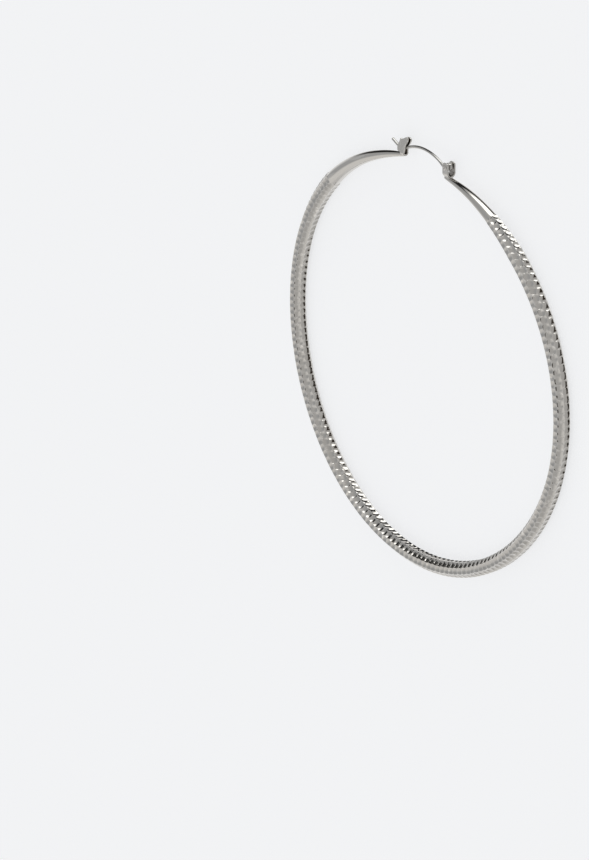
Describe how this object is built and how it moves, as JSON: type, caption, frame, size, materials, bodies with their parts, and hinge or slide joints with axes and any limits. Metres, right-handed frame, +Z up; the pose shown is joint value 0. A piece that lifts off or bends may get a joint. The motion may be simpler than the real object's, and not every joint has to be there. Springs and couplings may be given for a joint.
{
  "type": "hoop earring",
  "caption": "Large diamond-cut metal hoop earring with smooth tapered ends, a riveted ear wire and a slotted catch, lying on its side.",
  "frame": {"origin": "on the surface that the earring lies on, under the middle of its bounding box", "axes": "+Z up, square to the plane of the hoop; +Y from the middle of the hoop towards the gap and its ear wire; +X towards the hinge"},
  "size_m": [0.0898, 0.0926, 0.0033],
  "materials": {
    "cut_metal": "bright polished white metal, the middle of the hoop diamond-cut with small facets",
    "wire_metal": "polished white metal wire",
    "rivet_metal": "polished white metal, hammered rivet"
  },
  "bodies": {
    "hoop_body": {"hoop": "cut_metal", "hinge_pin": "rivet_metal"},
    "wire_body": {"ear_wire": "wire_metal"}
  },
  "joints": [
    {"name": "wire_hinge", "type": "hinge", "parent": "hoop_body", "child": "wire_body", "pos_m": [0.00729, 0.04336, 0.00163], "axis": [0, 0, -1], "range_deg": [0, 85]}
  ]
}
